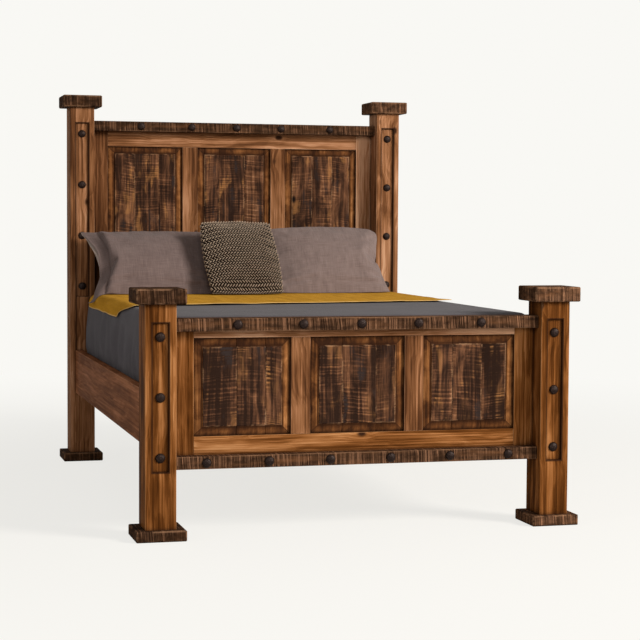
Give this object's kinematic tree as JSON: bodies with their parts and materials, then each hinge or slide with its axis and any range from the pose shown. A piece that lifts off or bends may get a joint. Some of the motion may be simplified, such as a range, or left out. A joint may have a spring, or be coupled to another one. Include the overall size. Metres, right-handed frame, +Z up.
{
  "type": "panel bed",
  "caption": "Rustic pine panel bed with tall headboard, low footboard, square capped posts, iron clavos, hook-in side rails, slatted deck and dressed mattress set.",
  "frame": {"origin": "on the floor, under the middle of the bed", "axes": "+X to the right for someone who stands at the foot and looks at the headboard, +Y from the footboard to the headboard, +Z up"},
  "size_m": [1.757, 2.436, 1.797],
  "materials": {
    "stained_pine": "amber walnut stain over knotty pine, satin",
    "rough_sawn_pine": "dark stain over rough-sawn pine, matt",
    "dark_panel_pine": "near-black stain worn back in streaks, satin",
    "rail_stain": "red-brown stain, satin",
    "plain_pine": "bare planed pine",
    "forged_iron": "blackened, hammered",
    "zinc_steel": "zinc plated",
    "ticking": "woven ticking",
    "sheet_cloth": "soft cotton",
    "throw_cloth": "woven in rows",
    "pillow_linen": "coarse linen",
    "cushion_knit": "chunky knit"
  },
  "bodies": {
    "bed_frame": {"headboard_post_left": "stained_pine", "headboard_stile_left": "stained_pine", "headboard_mullion_left": "stained_pine", "headboard_cap_left": "rough_sawn_pine", "headboard_foot_left": "rough_sawn_pine", "headboard_post_right": "stained_pine", "headboard_stile_right": "stained_pine", "headboard_mullion_right": "stained_pine", "headboard_cap_right": "rough_sawn_pine", "headboard_foot_right": "rough_sawn_pine", "headboard_top_rail": "stained_pine", "headboard_bottom_rail": "stained_pine", "headboard_panel_left": "dark_panel_pine", "headboard_panel_centre": "dark_panel_pine", "headboard_panel_right": "dark_panel_pine", "headboard_top_strip": "rough_sawn_pine", "headboard_clavos": "forged_iron", "footboard_post_left": "stained_pine", "footboard_stile_left": "stained_pine", "footboard_mullion_left": "stained_pine", "footboard_cap_left": "rough_sawn_pine", "footboard_foot_left": "rough_sawn_pine", "footboard_post_right": "stained_pine", "footboard_stile_right": "stained_pine", "footboard_mullion_right": "stained_pine", "footboard_cap_right": "rough_sawn_pine", "footboard_foot_right": "rough_sawn_pine", "footboard_top_rail": "stained_pine", "footboard_bottom_rail": "stained_pine", "footboard_panel_left": "dark_panel_pine", "footboard_panel_centre": "dark_panel_pine", "footboard_panel_right": "dark_panel_pine", "footboard_top_strip": "rough_sawn_pine", "footboard_clavos": "forged_iron", "footboard_bottom_strip": "rough_sawn_pine", "side_rail_left": "rail_stain", "side_rail_right": "rail_stain", "ledger_left": "plain_pine", "ledger_right": "plain_pine", "slat_1": "plain_pine", "slat_2": "plain_pine", "slat_3": "plain_pine", "slat_4": "plain_pine", "slat_5": "plain_pine", "rail_hook_plates": "zinc_steel", "rail_socket_plates": "zinc_steel", "plate_screws": "zinc_steel", "ledger_screws": "zinc_steel", "slat_screws": "zinc_steel"},
    "box_spring": {"box_spring": "ticking"},
    "mattress": {"mattress": "ticking", "bed_sheet": "sheet_cloth", "throw_blanket": "throw_cloth"},
    "pillow_left": {"pillow_left": "pillow_linen"},
    "pillow_right": {"pillow_right": "pillow_linen"},
    "knit_cushion": {"knit_cushion": "cushion_knit"}
  },
  "joints": [
    {"name": "box_spring_lift", "type": "slide", "parent": "bed_frame", "child": "box_spring", "axis": [0, 0, 1], "range_m": [0, 0.55]},
    {"name": "mattress_lift", "type": "slide", "parent": "box_spring", "child": "mattress", "axis": [0, 0, 1], "range_m": [0, 0.45]},
    {"name": "pillow_left_lift", "type": "slide", "parent": "mattress", "child": "pillow_left", "axis": [0, 0, 1], "range_m": [0, 0.25]},
    {"name": "pillow_right_lift", "type": "slide", "parent": "mattress", "child": "pillow_right", "axis": [0, 0, 1], "range_m": [0, 0.25]},
    {"name": "knit_cushion_lift", "type": "slide", "parent": "pillow_left", "child": "knit_cushion", "axis": [0, 0, 1], "range_m": [0, 0.35]}
  ]
}
